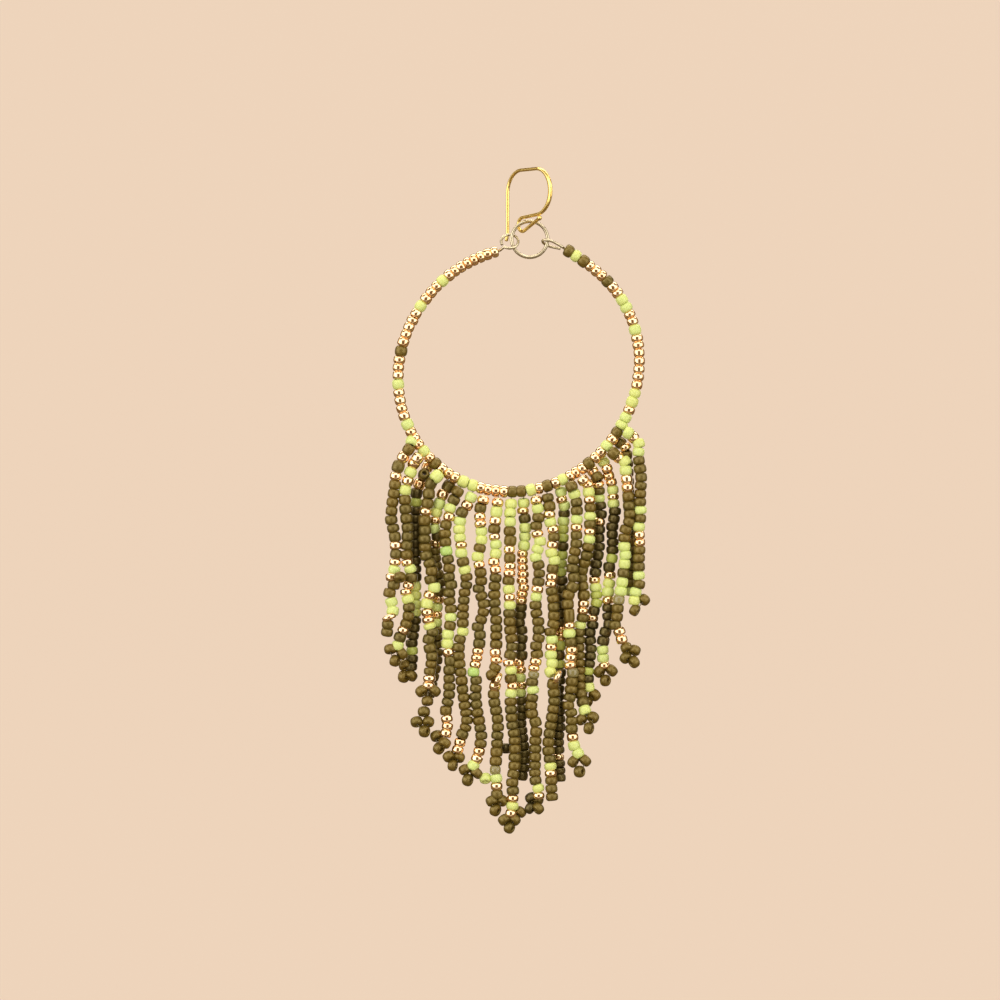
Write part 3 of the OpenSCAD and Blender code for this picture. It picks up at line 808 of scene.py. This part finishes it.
def make_stage():
    """Pale round floor whose rim curves up into a plain backdrop, as bright from every side."""
    middle_r, floor_z, wall_r, bend, top_z = 0.2, -0.65, 2.6, 0.5, 1.7
    around, bend_steps = 96, 16
    profile = [(middle_r, floor_z), (wall_r - bend, floor_z)]
    profile += [(wall_r - bend + bend * math.sin(a), floor_z + bend - bend * math.cos(a))
                for a in np.linspace(0.1, math.pi / 2, bend_steps)]
    profile += [(wall_r, top_z)]
    turns = [2 * math.pi * k / around for k in range(around)]
    verts = [(r * math.cos(t), r * math.sin(t), z) for r, z in profile for t in turns]
    faces = [tuple(range(around))]
    for i in range(len(profile) - 1):
        for k in range(around):
            low, high = i * around + k, i * around + (k + 1) % around
            faces.append((low, low + around, high + around, high))
    mesh = bpy.data.meshes.new("backdrop")
    mesh.from_pydata(verts, [], faces)
    mesh.polygons.foreach_set("use_smooth", [True] * len(faces))
    s = Shader("backdrop", Roughness=0.9, Emission_Color=BACKDROP_COLOUR, Emission_Strength=1.0)
    s.join(s.ramp(s.noise(2.0, 2), [(0, (0.1, 0.08, 0.063)), (1, (0.11, 0.088, 0.07))]), s.bsdf.inputs["Base Color"])
    mesh.materials.append(s.material)
    obj = bpy.data.objects.new("backdrop", mesh)
    bpy.context.scene.collection.objects.link(obj)
    obj.visible_glossy = False
    obj.visible_diffuse = False
    obj.visible_shadow = False


def make_world():
    """Dim warm surroundings, a little brighter in reflections, and the backdrop's colour for the camera."""
    diffuse_level, glossy_level = 0.15, 0.22
    world = bpy.data.worlds.new("studio")
    bpy.context.scene.world = world
    world.use_nodes = True
    nodes, links = world.node_tree.nodes, world.node_tree.links
    shown = nodes["Background"]
    shown.inputs["Color"].default_value = BACKDROP_COLOUR
    shown.inputs["Strength"].default_value = 1.0
    around = nodes.new("ShaderNodeBackground")
    around.inputs["Color"].default_value = AROUND_COLOUR
    mix = nodes.new("ShaderNodeMixShader")
    path = nodes.new("ShaderNodeLightPath")
    level = nodes.new("ShaderNodeMapRange")
    level.inputs["To Min"].default_value = diffuse_level
    level.inputs["To Max"].default_value = glossy_level
    links.new(path.outputs["Is Glossy Ray"], level.inputs["Value"])
    links.new(level.outputs["Result"], around.inputs["Strength"])
    links.new(path.outputs["Is Camera Ray"], mix.inputs["Fac"])
    links.new(around.outputs[0], mix.inputs[1])
    links.new(shown.outputs[0], mix.inputs[2])
    links.new(mix.outputs[0], nodes["World Output"].inputs["Surface"])


def make_camera():
    """Camera at the photograph's place, whose picture is the photograph's size at the hoop."""
    distance = 0.8
    seen = PHOTO_PX / PX_PER_MM * MM
    data = bpy.data.cameras.new("camera")
    data.sensor_width = 36
    data.lens = data.sensor_width * (distance + DROP_Y * MM) / seen
    obj = bpy.data.objects.new("camera", data)
    bpy.context.scene.collection.objects.link(obj)
    middle = PHOTO_PX / 2
    x, z = [side * (middle - at) / PX_PER_MM * MM for side, at in zip((1, -1), ORIGIN_PX)]
    obj.location = (x, -distance, z)
    obj.rotation_euler = (math.pi / 2, 0, 0)
    data.clip_start, data.clip_end = 0.01, 20
    bpy.context.scene.camera = obj


hook = make_hook()
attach(hook, "hook")
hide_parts("ear_hook")

dress("jump_ring")

loops = make_hoop_wire()
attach(loops, "drop")
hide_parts("hoop_wire")

hoop_string = make_hoop_beads()
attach(hoop_string, "drop")
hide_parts("hoop_beads")

for i, row in enumerate(STRINGS, 1):
    string = make_string(i, row)
    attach(string, "drop")
    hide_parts(f"strand_{i:02d}")

make_stage()
make_world()
make_camera()
bpy.context.scene.view_settings.view_transform = "Standard"

# Soft boxes around the camera, whose dark gap in the middle shows in the gold beads, and lights from the back, the
# sides and above. Each has its place, the point that it faces, its width, its height and its brightness.
area_light("left_box", (-1.0, -0.72, 0.12), (-0.75, 0, 0), 1.18, 1.3, 2.0)
area_light("right_box", (1.0, -0.72, 0.12), (0.75, 0, 0), 1.18, 1.3, 1.8)
area_light("top_box", (0, -0.72, 0.62), (0, 0, 0.1), 0.84, 0.66, 1.9)
area_light("low_box", (0, -0.72, -0.54), (0, 0, -0.1), 0.84, 0.2, 0.55)
area_light("front_fill", (0, -0.72, -0.03), (0, 0, -0.03), 0.84, 0.8, 0.7, glossy=False)
area_light("back_fill", (0, 1.1, 0.05), (0, 0, -0.05), 1.4, 1.0, 0.9)
area_light("left_side", (-1.3, -0.22, 0.32), (0, -0.22, 0.32), 1.0, 1.0, 1.3)
area_light("right_side", (1.3, -0.22, 0.32), (0, -0.22, 0.32), 1.0, 1.0, 0.8)
area_light("overhead", (0, 0.0, 1.0), (-0.005, 0, -0.06), 1.0, 1.0, 0.8)
# This one lights the top of the earring from behind, and the backdrop a little
area_light("backdrop_light", (0, 0.45, 1.3), (0, 1.2, 0), 3.0, 0.5, 5.8, colour=(1.0, 0.94, 0.87))

bpy.context.view_layer.update()
